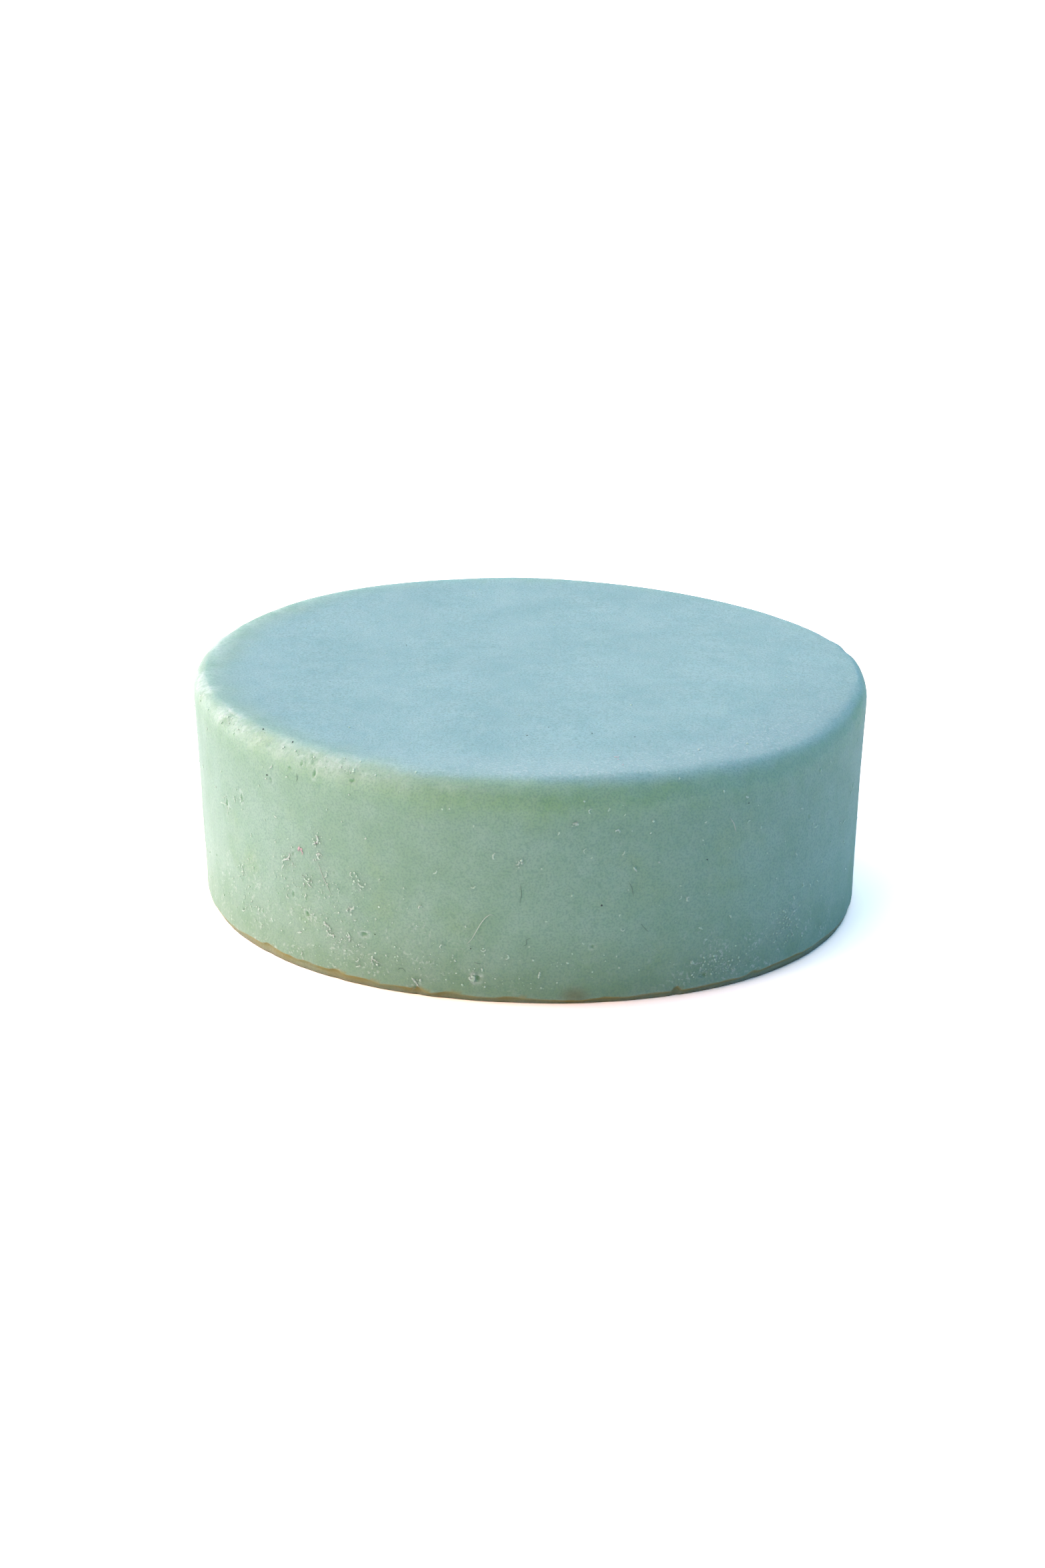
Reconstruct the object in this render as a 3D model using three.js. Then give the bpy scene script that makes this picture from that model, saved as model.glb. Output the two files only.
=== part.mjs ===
// A round puck of hard shaving soap: one solid cake, cut as a slice and lying flat on its base.
// Millimetres, +Z up. The origin is on the base, under the middle of the puck's outline.
import * as THREE from "three";

// Driving dimensions
const TOP_DIAMETER = 76; // across the face that the brush works on: a three-inch slice
const BASE_DIAMETER = 75.2; // across the base, because the wall leans in on its way down
const THICKNESS = 25.15; // at the middle: close to an inch
const RIM_SHARPEST = 1.3; // the round of the top rim where it was handled least
const RIM_SOFTEST = 3.4; // and where it is rubbed softest
const RIM_SOFTEST_TURN = -88; // which way the softest stretch faces, in degrees from +X towards +Y
const DROOP = 1.2; // the brush has worn the face down towards its edge by this much on one side
const DROOP_TURN = -35; // which way the droop faces, in degrees
const DROOP_REACH = 11; // how far in from the rim's round the worn part starts
const BASE_EDGE_RADIUS = 1.7; // the undercut round where the wall meets the base
const WEDGE = -0.015; // rise of the top face for each mm towards +X, from a cut that isn't quite level

// The slice isn't a true circle. Each lobe swells the radius by a share of itself, `count` times
// in a turn, and the first swelling faces `facing` degrees from +X, counted towards +Y.
const TOP_LOBES = [
  { count: 3, share: 0.015, facing: 10 },
  { count: 4, share: 0.007, facing: 5 },
  { count: 6, share: 0.003, facing: 14 },
];
const BASE_LOBES = [
  { count: 2, share: 0.027, facing: -45 },
  { count: 4, share: 0.012, facing: -45 },
];

// Fineness of the faceted solid
const TURN_SEGMENTS = 120;
const ROUND_SEGMENTS = 6;
const WALL_RINGS = 4;
const DROOP_SEGMENTS = 4;

const SOAP_FINISH = { color: 0x9dbdb2, roughness: 0.55, metalness: 0 };

// Points on a round, without its first one, which ends the stretch before it.
function edgeRound(centreRadius, centreHeight, radius, startAngle, sweep) {
  const points = [];
  for (let step = 1; step <= ROUND_SEGMENTS; step += 1) {
    const angle = startAngle + sweep * (step / ROUND_SEGMENTS);
    const outwards = centreRadius + radius * Math.cos(angle);
    const upwards = centreHeight + radius * Math.sin(angle);
    points.push(new THREE.Vector2(outwards, upwards));
  }
  return points;
}

// The rim's round in one direction. It is soft on one side only, so the swell is cubed.
function rimRadius(turn) {
  const facing = THREE.MathUtils.degToRad(RIM_SOFTEST_TURN);
  const nearness = (1 + Math.cos(turn - facing)) / 2;
  return THREE.MathUtils.lerp(RIM_SHARPEST, RIM_SOFTEST, nearness ** 3);
}

// How far the worn face droops at its edge in one direction. A high power keeps it to one side.
function droopAt(turn) {
  const facing = THREE.MathUtils.degToRad(DROOP_TURN);
  return DROOP * ((1 + Math.cos(turn - facing)) / 2) ** 12;
}

// The worn face, from the rim's round inwards to where the face is still flat.
function drooped(edgeRadius, droop) {
  const points = [];
  for (let step = 1; step <= DROOP_SEGMENTS; step += 1) {
    const inward = 1 - step / DROOP_SEGMENTS;
    const outwards = edgeRadius - DROOP_REACH * (1 - inward);
    points.push(new THREE.Vector2(outwards, THICKNESS - droop * inward ** 2));
  }
  return points;
}

// Half of the puck's section, from the middle of the base, out, up the wall and back to the axis.
function halfSection(turn) {
  const rimRound = rimRadius(turn);
  const droop = droopAt(turn);
  const slope = Math.atan((2 * droop) / DROOP_REACH);
  const rimCentreHeight = THICKNESS - droop - rimRound * Math.cos(slope);
  const topRadius = TOP_DIAMETER / 2;
  const baseRadius = BASE_DIAMETER / 2;
  const wallFoot = new THREE.Vector2(baseRadius, BASE_EDGE_RADIUS);
  const wallHead = new THREE.Vector2(topRadius, rimCentreHeight);
  const base = [
    new THREE.Vector2(0, 0),
    new THREE.Vector2(baseRadius - BASE_EDGE_RADIUS, 0),
  ];
  const baseEdge = edgeRound(
    baseRadius - BASE_EDGE_RADIUS,
    BASE_EDGE_RADIUS,
    BASE_EDGE_RADIUS,
    -Math.PI / 2,
    Math.PI / 2,
  );
  const wall = [];
  for (let ring = 1; ring <= WALL_RINGS; ring += 1) {
    wall.push(wallFoot.clone().lerp(wallHead, ring / WALL_RINGS));
  }
  const rim = edgeRound(
    topRadius - rimRound,
    rimCentreHeight,
    rimRound,
    0,
    Math.PI / 2 - slope,
  );
  const wornFace = drooped(topRadius - rimRound, droop);
  const middle = new THREE.Vector2(0, THICKNESS);
  return [...base, ...baseEdge, ...wall, ...rim, ...wornFace, middle];
}

// How much wider than its circle the slice is in one direction.
function swelling(lobes, turn) {
  return lobes.reduce((sum, lobe) => {
    const facing = THREE.MathUtils.degToRad(lobe.facing);
    return sum + lobe.share * Math.cos(lobe.count * (turn - facing));
  }, 1);
}

// Which way a column of the turned solid faces. The last column closes on the first one.
function columnTurn(column) {
  return (column % TURN_SEGMENTS) * ((2 * Math.PI) / TURN_SEGMENTS) - Math.PI / 2;
}

// Turns the section, then makes the outline hand cut: lobed, with the top face slightly wedged.
function puckGeometry() {
  const pointsInSection = halfSection(0).length;
  const geometry = new THREE.LatheGeometry(halfSection(0), TURN_SEGMENTS);
  geometry.rotateX(Math.PI / 2);
  const positions = geometry.getAttribute("position");
  for (let column = 0; column <= TURN_SEGMENTS; column += 1) {
    const turn = columnTurn(column);
    halfSection(turn).forEach((point, row) => {
      const rise = THREE.MathUtils.clamp(point.y / THICKNESS, 0, 1);
      const swell = THREE.MathUtils.lerp(
        swelling(BASE_LOBES, turn),
        swelling(TOP_LOBES, turn),
        rise,
      );
      const x = point.x * swell * Math.cos(turn);
      const y = point.x * swell * Math.sin(turn);
      const z = point.y + WEDGE * x * rise;
      positions.setXYZ(column * pointsInSection + row, x, y, z);
    });
  }
  geometry.computeBoundingBox();
  const middle = geometry.boundingBox.getCenter(new THREE.Vector3());
  geometry.translate(-middle.x, -middle.y, 0);
  geometry.computeVertexNormals();
  return geometry;
}

// The whole object is this one cake of soap.
function soapPuck() {
  const puck = new THREE.Mesh(
    puckGeometry(),
    new THREE.MeshStandardMaterial(SOAP_FINISH),
  );
  puck.name = "soap_puck";
  return puck;
}

const shavingSoap = new THREE.Group();
shavingSoap.add(soapPuck());

export default shavingSoap;
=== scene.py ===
"""A round puck of hard, milled shaving soap lying on a pale studio table.

One cake of soap is the whole object. Its surface shows how it was made and handled: a soft rim, a
wall that leans, a lip that stands off the table, pits from air bubbles, dried curls and crumbs of
soap, a few stray hairs and specks, and a bluish crusted skin on the face that the brush works on.
Part of that blue is painted light from a cool sky, and painted light and shade also lie on the rim,
just under it, in the pits, low on the wall and under the lip.
"""

import itertools
import math

import bmesh
import bpy
import numpy as np
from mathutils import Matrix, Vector
from mathutils.bvhtree import BVHTree


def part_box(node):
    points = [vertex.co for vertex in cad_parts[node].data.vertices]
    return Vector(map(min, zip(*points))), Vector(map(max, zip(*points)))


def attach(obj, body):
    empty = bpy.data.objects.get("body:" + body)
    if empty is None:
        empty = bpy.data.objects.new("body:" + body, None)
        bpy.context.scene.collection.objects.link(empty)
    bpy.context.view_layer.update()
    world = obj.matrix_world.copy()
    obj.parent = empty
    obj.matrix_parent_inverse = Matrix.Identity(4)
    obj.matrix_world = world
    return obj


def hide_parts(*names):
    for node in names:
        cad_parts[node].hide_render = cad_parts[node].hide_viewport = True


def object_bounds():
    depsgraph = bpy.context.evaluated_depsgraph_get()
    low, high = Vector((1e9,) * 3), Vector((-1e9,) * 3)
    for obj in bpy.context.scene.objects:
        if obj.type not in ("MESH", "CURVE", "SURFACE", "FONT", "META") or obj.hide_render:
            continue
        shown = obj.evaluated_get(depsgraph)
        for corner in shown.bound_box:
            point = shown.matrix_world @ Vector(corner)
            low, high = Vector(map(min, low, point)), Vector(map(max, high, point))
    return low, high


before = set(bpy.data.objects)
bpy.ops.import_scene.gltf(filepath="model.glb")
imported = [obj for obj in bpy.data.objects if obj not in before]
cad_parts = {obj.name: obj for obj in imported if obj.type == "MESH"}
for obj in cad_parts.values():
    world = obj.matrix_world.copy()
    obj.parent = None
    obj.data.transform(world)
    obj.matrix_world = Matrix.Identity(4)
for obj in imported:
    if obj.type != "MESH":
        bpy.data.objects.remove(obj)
cad_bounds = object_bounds()

MM = 0.001
PUCK = "soap_puck"
SEED = 417

# ------------------------------------------------------------------ the puck's form, in millimetres

BOX_LOW, BOX_HIGH = (np.array(corner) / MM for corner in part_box(PUCK))
TOP_RADIUS = 38.0
BASE_RADIUS = 37.6
THICKNESS = 25.15
WEDGE = -0.015  # rise of the top face for each mm towards +X
RIM_SHARPEST = 1.3
RIM_SOFTEST = 3.4
RIM_SOFTEST_TURN = -88  # the rim is rubbed soft on this side
DROOP = 1.2  # the brush has worn the face down towards its edge by this much on one side
DROOP_TURN = -35
DROOP_REACH = 11.0  # the worn part starts this far in from the edge
LIP_ROUND = 0.3  # the crisp corner where the wall turns under

# Each lobe swells the radius by a share of itself: times in a turn, share, and where it first faces.
TOP_LOBES = ((3, 0.015, 10), (4, 0.007, 5), (6, 0.003, 14))
BASE_LOBES = ((2, 0.027, -45), (4, 0.012, -45))

# Turns are degrees from +X towards +Y, so the side at -90 faces the camera.
# The lip stands off the table by this much, because the cake shrank and lifted as it dried.
LIP_LIFTS = (
    (-180, 0.5),
    (-150, 0.45),
    (-140, 0.8),
    (-130, 0.85),
    (-120, 0.75),
    (-106, 0.5),
    (-95, 0.45),
    (-86, 0.35),
    (-78, 0.45),
    (-66, 0.45),
    (-54, 0.6),
    (-44, 0.75),
    (-34, 0.75),
    (-22, 0.5),
    (0, 0.9),
    (90, 0.8),
    (140, 0.8),
    (180, 0.5),
)
# How far the undercut runs in for each mm of lift.
UNDERCUT_SLOPE = 0.3

# Fineness of the mesh
COLUMNS = 608  # about 0.4 mm apart on the wall
WALL_ROWS = 54
RIM_ROWS = 10
LIP_ROWS = 3
UNDERCUT_ROWS = 4
TOP_STEP = 0.6
BASE_STEP = 1.0
HALVE_AT = (0.72, 0.4, 0.2)  # shares of the radius where a flat face needs only half the points

# ------------------------------------------------------------------ marks of making and handling

# A pit is an air bubble cut open: turn, height, half width, half height, depth, whiteness of its lip.
WALL_PITS = (
    (-118.3, 6.2, 0.50, 0.34, 0.26, 0.5),
    (-99.0, 2.9, 0.40, 0.40, 0.24, 1.0),
    (-132.5, 23.0, 0.36, 0.30, 0.18, 0.2),
    (-130.0, 23.9, 0.26, 0.40, 0.20, 0.3),
    (-127.0, 23.3, 0.24, 0.55, 0.22, 0.4),
    (-119.5, 23.6, 0.50, 0.24, 0.16, 0.2),
    (-152.0, 15.3, 0.34, 0.70, 0.22, 0.5),
    (-146.3, 17.2, 0.24, 0.62, 0.20, 0.6),
    (-130.0, 6.8, 0.30, 0.42, 0.20, 0.6),
    (-137.5, 20.9, 0.24, 0.30, 0.16, 0.2),
    (-133.0, 8.6, 0.24, 0.55, 0.16, 0.3),
    (-61.8, 1.9, 0.45, 0.34, 0.20, 0.2),
)
STRAY_PITS = 40
# A chip is a dent knocked into the top rim: turn, half length, depth.
RIM_CHIPS = (
    (-151, 1.9, 0.30),
    (-128, 1.5, 0.22),
    (-117, 1.1, 0.16),
    (-138, 1.2, 0.18),
    (-101, 0.9, 0.12),
    (-35, 1.4, 0.18),
    (43, 1.1, 0.22),
    (64, 1.5, 0.30),
    (118, 1.2, 0.26),
)
# A nick is a bite out of the lower lip: turn, half length, depth.
LIP_NICKS = (
    (-140, 1.1, 0.25),
    (-124, 1.0, 0.25),
    (-108.5, 0.7, 0.40),
    (-104, 1.3, 0.20),
    (-93, 1.8, 0.15),
    (-66, 0.6, 0.45),
    (-52, 0.9, 0.25),
    (38, 0.9, 0.40),
    (152, 1.2, 0.40),
)
LIP_WAVE = 0.13
# A dab is a patch of chalk on the rim: turn, height, half length.
CHALK_DABS = (
    (-153.8, 24.5, 1.0),
    (-157.5, 24.7, 0.7),
    (-178, 24.4, 0.9),
    (168, 24.9, 0.8),
    (-131, 24.2, 0.7),
    (-112, 24.3, 0.5),
)
STAIN = (-82.5, 1.0, 1.5)  # a tea-brown spot at the lip: turn, height, reach


def smooth_step(low, high, value):
    """0 below low, 1 above high, and an even turn between them."""
    share = np.clip((value - low) / (high - low), 0, 1)
    return share * share * (3 - 2 * share)


def lattice_noise(points, cell, seed):
    """Smooth noise from -1 to 1 that changes over about one cell, and is the same at each run."""
    grid = points / cell
    corner_of = np.floor(grid).astype(np.int64)
    share = grid - corner_of
    share = share * share * (3 - 2 * share)
    total = np.zeros(len(points))
    for corner in itertools.product((0, 1), repeat=3):
        key = corner_of + np.array(corner)
        mixed = key[:, 0] * 73856093 ^ key[:, 1] * 19349663 ^ key[:, 2] * 83492791
        mixed = ((mixed ^ seed * 265443) & 0xFFFFFFFF) * 1274126177 & 0xFFFFFFFF
        mixed = (mixed ^ (mixed >> 15)) * 2246822519 & 0xFFFFFFFF
        level = ((mixed ^ (mixed >> 13)) & 0xFFFF) / 32767.5 - 1
        weight = np.prod(np.where(np.array(corner) == 1, share, 1 - share), axis=1)
        total += level * weight
    return total


def swelling(lobes, turn):
    """How much wider than its circle the slice is at each turn, in radians."""
    total = np.ones_like(turn)
    for times, share, facing in lobes:
        total += share * np.cos(times * (turn - math.radians(facing)))
    return total


def turn_gap(turn, degrees):
    """The angle from each turn to one in degrees, the short way round, in radians."""
    return (turn - math.radians(degrees) + math.pi) % (2 * math.pi) - math.pi


def turn_degrees(turn):
    """Turns in degrees, from -180 to 180."""
    return np.degrees((turn + math.pi) % (2 * math.pi) - math.pi)


def lip_lift(turn):
    """The height of the lip over the table at each turn, with its waves and nicks."""
    lift = np.interp(turn_degrees(turn), *zip(*LIP_LIFTS))
    edge = BASE_RADIUS * np.stack([np.cos(turn), np.sin(turn), np.zeros_like(turn)], axis=1)
    lift += LIP_WAVE * (lattice_noise(edge, 2.6, SEED) + 0.5 * lattice_noise(edge, 0.9, SEED + 1))
    for degrees, half_length, depth in LIP_NICKS:
        away = np.abs(turn_gap(turn, degrees)) * BASE_RADIUS / half_length
        lift += depth * (1 - smooth_step(0.2, 1.0, away))
    return np.maximum(lift, 0.2)


def wall_radius(height):
    """The circle's radius at a height on the leaning wall, before lobes."""
    return BASE_RADIUS + (TOP_RADIUS - BASE_RADIUS) * height / THICKNESS


def lobed(radius, height, turn):
    """Points of the hand-cut form, from its circle's radius and its level height at each turn."""
    rise = np.clip(height / THICKNESS, 0, 1)
    swell = swelling(BASE_LOBES, turn) * (1 - rise) + swelling(TOP_LOBES, turn) * rise
    x = radius * swell * np.cos(turn)
    y = radius * swell * np.sin(turn)
    return np.stack([x, y, height + WEDGE * x * rise], axis=1)


def even_turns(count):
    return np.arange(count) * (2 * math.pi / count)


def rim_round(turn):
    """The rim's round at each turn. It is soft on one side only, so the swell is cubed."""
    nearness = (1 + np.cos(turn - math.radians(RIM_SOFTEST_TURN))) / 2
    return RIM_SHARPEST + (RIM_SOFTEST - RIM_SHARPEST) * nearness**3


def droop_share(turn):
    """How much of the droop each turn has. It is kept to one side by a high power."""
    return ((1 + np.cos(turn - math.radians(DROOP_TURN))) / 2) ** 12


def face_level(radius, turn):
    """The worn top face's height at a radius of the circle, before the wedge."""
    edge = TOP_RADIUS - rim_round(turn)
    inward = np.clip((radius - edge) / DROOP_REACH + 1, 0, 1)
    return THICKNESS - DROOP * droop_share(turn) * inward**2


RIM_HEIGHT = THICKNESS - DROOP * droop_share(even_turns(COLUMNS)) - rim_round(even_turns(COLUMNS))
RIM_CIRCLE = lobed(wall_radius(RIM_HEIGHT), RIM_HEIGHT, even_turns(COLUMNS))
FORM_MIDDLE = (RIM_CIRCLE.max(axis=0) + RIM_CIRCLE.min(axis=0)) / 2 * np.array([1, 1, 0])


def seated(points):
    """The form's points moved to where the frame holds the puck, standing on its base."""
    box_middle = (BOX_LOW + BOX_HIGH) / 2 * np.array([1, 1, 0])
    return points - FORM_MIDDLE + box_middle


def on_wall(degrees, height, out=0.0):
    """Points on the plain wall, in millimetres, standing `out` proud of it."""
    turn = np.atleast_1d(np.radians(degrees))
    level = np.atleast_1d(np.asarray(height, float))
    return seated(lobed(wall_radius(level) + out, level, turn))


def on_top(x, y, up=0.0):
    """A point on the plain top face, in millimetres, standing `up` above it."""
    return seated(np.array([[x, y, THICKNESS + WEDGE * x + up]]))


def face_rings(edge_radius, level, step):
    """Rings from near the middle of a face to just inside its edge, with fewer points inwards."""
    rings = []
    count = COLUMNS
    share = 1 - step / TOP_RADIUS
    halvings = list(HALVE_AT)
    while share > 0.02:
        if halvings and share < halvings[0]:
            halvings.pop(0)
            count //= 2
        radius = edge_radius[:: COLUMNS // count] * share
        rings.append(lobed(radius, level(radius, even_turns(count)), even_turns(count)))
        share -= step * math.sqrt(COLUMNS / count) / TOP_RADIUS
    return rings[::-1]


def puck_rings():
    """All the puck's levels, from the middle of the base round to the middle of the top face."""
    turn = even_turns(COLUMNS)
    lift = lip_lift(turn)
    foot_radius = BASE_RADIUS - LIP_ROUND - lift * UNDERCUT_SLOPE
    rings = face_rings(foot_radius, lambda radius, _: np.zeros_like(radius), BASE_STEP)
    rings.append(lobed(foot_radius, np.zeros(COLUMNS), turn))
    lip_inner = BASE_RADIUS - LIP_ROUND
    for row in range(1, UNDERCUT_ROWS + 1):
        share = row / UNDERCUT_ROWS
        radius = foot_radius + (lip_inner - foot_radius) * share
        rings.append(lobed(radius, lift * share**1.4, turn))
    for row in range(1, LIP_ROWS + 1):
        angle = math.pi / 2 * (row / LIP_ROWS - 1)
        radius = lip_inner + LIP_ROUND * math.cos(angle)
        rings.append(lobed(radius, lift + LIP_ROUND * (1 + math.sin(angle)), turn))
    foot = lift + LIP_ROUND
    # The rim's round stops short of level, where it meets the slope of the worn face.
    rounding = rim_round(turn)
    slope = np.arctan(2 * DROOP * droop_share(turn) / DROOP_REACH)
    head = THICKNESS - DROOP * droop_share(turn) - rounding * np.cos(slope)
    for row in range(1, WALL_ROWS + 1):
        height = foot + (head - foot) * row / WALL_ROWS
        rings.append(lobed(wall_radius(height), height, turn))
    rim_centre = wall_radius(head) - rounding
    for row in range(1, RIM_ROWS + 1):
        angle = (math.pi / 2 - slope) * row / RIM_ROWS
        height = head + rounding * np.sin(angle)
        rings.append(lobed(rim_centre + rounding * np.cos(angle), height, turn))
    rings.extend(face_rings(rim_centre, face_level, TOP_STEP)[::-1])
    return rings


def band_faces(below, below_count, above, above_count):
    """Faces between two rings, given by first index and count, which match or differ by half."""
    if below_count == above_count:
        steps = [(i, (i + 1) % below_count) for i in range(below_count)]
        return [(below + i, below + j, above + j, above + i) for i, j in steps]
    fine_below = below_count > above_count
    fine, coarse = (below, above) if fine_below else (above, below)
    coarse_count = min(below_count, above_count)
    faces = []
    for i in range(coarse_count):
        here, there = coarse + i, coarse + (i + 1) % coarse_count
        first, middle = fine + 2 * i, fine + 2 * i + 1
        last = fine + (2 * i + 2) % (2 * coarse_count)
        group = [(first, middle, here), (middle, there, here), (middle, last, there)]
        faces.extend(group if fine_below else [face[::-1] for face in group])
    return faces


def plain_puck():
    """The puck's plain form as one closed mesh, in millimetres."""
    rings = puck_rings()
    levels = [np.zeros((1, 3))] + rings + [np.array([[0, 0, THICKNESS]])]
    starts = [int(n) for n in np.cumsum([0] + [len(level) for level in levels])]
    inner, outer = len(rings[0]), len(rings[-1])
    faces = [(0, 1 + (i + 1) % inner, 1 + i) for i in range(inner)]
    for index in range(1, len(rings)):
        sizes = len(levels[index]), len(levels[index + 1])
        faces.extend(band_faces(starts[index], sizes[0], starts[index + 1], sizes[1]))
    last, apex = starts[-3], starts[-2]
    faces.extend((last + i, last + (i + 1) % outer, apex) for i in range(outer))
    mesh = bpy.data.meshes.new("cake_of_soap")
    mesh.from_pydata(seated(np.concatenate(levels)).tolist(), [], faces)
    return mesh


def mesh_points(mesh):
    points = np.empty(len(mesh.vertices) * 3)
    mesh.vertices.foreach_get("co", points)
    return points.reshape(-1, 3)


def mesh_normals(mesh):
    normals = np.empty(len(mesh.vertices) * 3)
    mesh.vertex_normals.foreach_get("vector", normals)
    return normals.reshape(-1, 3)


def stray_pits():
    """Small bubbles scattered by chance, thickest low on the wall and at the front left."""
    draw = np.random.default_rng(SEED)
    pits = []
    while len(pits) < STRAY_PITS:
        degrees, height = draw.uniform(-180, 180), draw.uniform(2.2, 24)
        crowding = 0.3 + 0.7 * (1 - height / THICKNESS) + 0.5 * (-150 < degrees < -100)
        if draw.uniform(0, 1.5) < crowding:
            half = draw.uniform(0.12, 0.28)
            tall = half * draw.uniform(0.7, 1.6)
            pits.append((degrees, height, half, tall, half * 0.45, draw.uniform(0, 0.4)))
    return pits


def refine_near(mesh, places):
    """Splits the faces near each (point, reach) place twice, so that small marks have a true shape."""
    bm = bmesh.new()
    bm.from_mesh(mesh)
    for margin in (1.0, 0.5):
        points = np.array([vertex.co for vertex in bm.verts])
        near = np.zeros(len(points), bool)
        for point, reach in places:
            near |= np.sum((points - point) ** 2, axis=1) < (reach + margin * 0.5) ** 2
        edges = [e for e in bm.edges if near[e.verts[0].index] and near[e.verts[1].index]]
        bmesh.ops.subdivide_edges(bm, edges=edges, cuts=1, use_grid_fill=True)
        bm.verts.index_update()
    bmesh.ops.triangulate(bm, faces=[f for f in bm.faces if len(f.verts) > 4])
    bm.to_mesh(mesh)
    bm.free()


def carve(mesh, pits):
    """Gives the plain form its unevenness and marks, and paints where it is chalky, crusted, dusty or
    stained, and where painted highlight, glow, sky light and shade lie.
    """
    points, normals = mesh_points(mesh), mesh_normals(mesh)
    turn = np.arctan2(points[:, 1], points[:, 0])
    height = points[:, 2]
    circle_radius = np.hypot(points[:, 0], points[:, 1]) / swelling(TOP_LOBES, turn)
    under_top = face_level(circle_radius, turn) + WEDGE * points[:, 0] - height
    from_edge = np.maximum(TOP_RADIUS - circle_radius, 0)
    on_face = smooth_step(0.5, 0.05, under_top)
    near_rim = smooth_step(3.2, 0.9, under_top) * (normals[:, 2] < 0.97)
    stands = smooth_step(0.05, 1.2, height)
    side = stands * (1 - on_face)

    # Broad swells from hand cutting, then finer ones from handling.
    push = side * (0.10 * lattice_noise(points, 13, 3) + 0.04 * lattice_noise(points, 4.5, 4) - 0.13)
    push += side * 0.008 * lattice_noise(points, 1.1, 5)
    # The cutting wire drags the top face into long faint furrows, a little across the puck.
    drag = points @ np.array([[0.96, -0.28, 0], [0.28, 0.96, 0], [0, 0, 1]])
    furrows = lattice_noise(drag / np.array([14, 1.1, 30]), 1, 6)
    push += on_face * (0.05 * lattice_noise(points, 9, 7) + 0.008 * furrows - 0.10)
    push += on_face * 0.012 * lattice_noise(points, 1.3, 8)
    # The rim is worn unevenly.
    push += near_rim * (0.08 * lattice_noise(points, 2.4, 9) + 0.03 * lattice_noise(points, 0.9, 10) - 0.08)

    chalk_and_highlight = np.zeros(len(points))
    pit_shade = np.zeros(len(points))
    jag = lattice_noise(points, 0.45, 11)
    # Pits are carved, their lips whitened with chalk, and their bowls marked for painted shade.
    for degrees, level, half_width, half_height, depth, white in pits:
        across = turn_gap(turn, degrees) * TOP_RADIUS / half_width
        along = (height - level) / half_height
        away = np.sqrt(across**2 + along**2) * (1 + 0.45 * jag)
        bowl = (1 - smooth_step(0.2, 1.0, away)) * side
        lip = np.exp(-(((away - 1.15) / 0.25) ** 2)) * side
        push += -depth * bowl + 0.06 * white * lip
        pit_shade = np.maximum(pit_shade, bowl)
        chalk_and_highlight = np.maximum(chalk_and_highlight, 0.8 * white * lip)
    for degrees, half_length, depth in RIM_CHIPS:
        centre = on_wall(degrees, THICKNESS - 0.6)[0]
        stretch = np.linalg.norm((points - centre) / np.array([1, 1, 0.7]), axis=1)
        dent = 1 - smooth_step(0.0, 1.0, stretch / half_length * (1 + 0.35 * jag))
        push += -depth * dent

    # The corner of the rim is painted pale, most of all at the left: partly chalk rubbed up by handling,
    # partly a painted highlight where the light from the left falls. Runs of chalk hang off it.
    left = smooth_step(85, 35, np.abs(np.degrees(turn_gap(turn, -170))))
    runs = 0.8 * lattice_noise(points / np.array([1, 1, 4]), 0.7, 15)
    down = (under_top - 0.4 + 0.5 * runs) / (0.8 + 0.5 * left)
    inward = np.maximum(from_edge - 0.5 + 0.4 * jag, 0) / (0.7 + 1.6 * left)
    band = np.exp(-(down**2) - inward**2) * (height > THICKNESS / 2)
    patchy = smooth_step(-0.45, 0.45, lattice_noise(points, 2.2, 12) + 0.5 * jag)
    chalk_and_highlight = np.maximum(chalk_and_highlight, band * (0.25 + 0.75 * patchy) * (0.25 + 0.58 * left))
    # At the far left the wall is painted pale in streaks, a painted highlight where the light from the left
    # grazes it.
    far_left = smooth_step(40, 5, np.abs(np.degrees(turn_gap(turn, 175))))
    streaky = smooth_step(-0.5, 0.6, lattice_noise(points / np.array([1, 1, 5]), 0.9, 16))
    chalk_and_highlight = np.maximum(chalk_and_highlight, 0.38 * far_left * (0.4 + 0.6 * streaky) * side)
    for degrees, level, half_length in CHALK_DABS:
        away = (points - on_wall(degrees, level)[0]) / np.array([1, 1, 0.6])
        away = np.linalg.norm(away, axis=1) / half_length * (1 + 0.4 * jag)
        chalk_and_highlight = np.maximum(chalk_and_highlight, 0.95 * (1 - smooth_step(0.5, 1.0, away)))
    # Dust of dried soap clings low on the wall, at the left and again at the right.
    low_left = smooth_step(45, 15, np.abs(np.degrees(turn_gap(turn, -135)))) * smooth_step(15, 6, height)
    low_right = smooth_step(26, 8, np.abs(np.degrees(turn_gap(turn, -50)))) * smooth_step(10, 3, height)
    elsewhere = 0.25 * smooth_step(9, 2, height)
    dusting = np.clip(0.9 * low_left + 0.9 * low_right + elsewhere, 0, 1) * side
    stain_at = on_wall(STAIN[0], STAIN[1])[0]
    stain_reach = np.linalg.norm((points - stain_at) / np.array([1.5, 1, 1]), axis=1) / STAIN[2]
    stain = 1 - smooth_step(0.1, 1.0, stain_reach)
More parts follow.
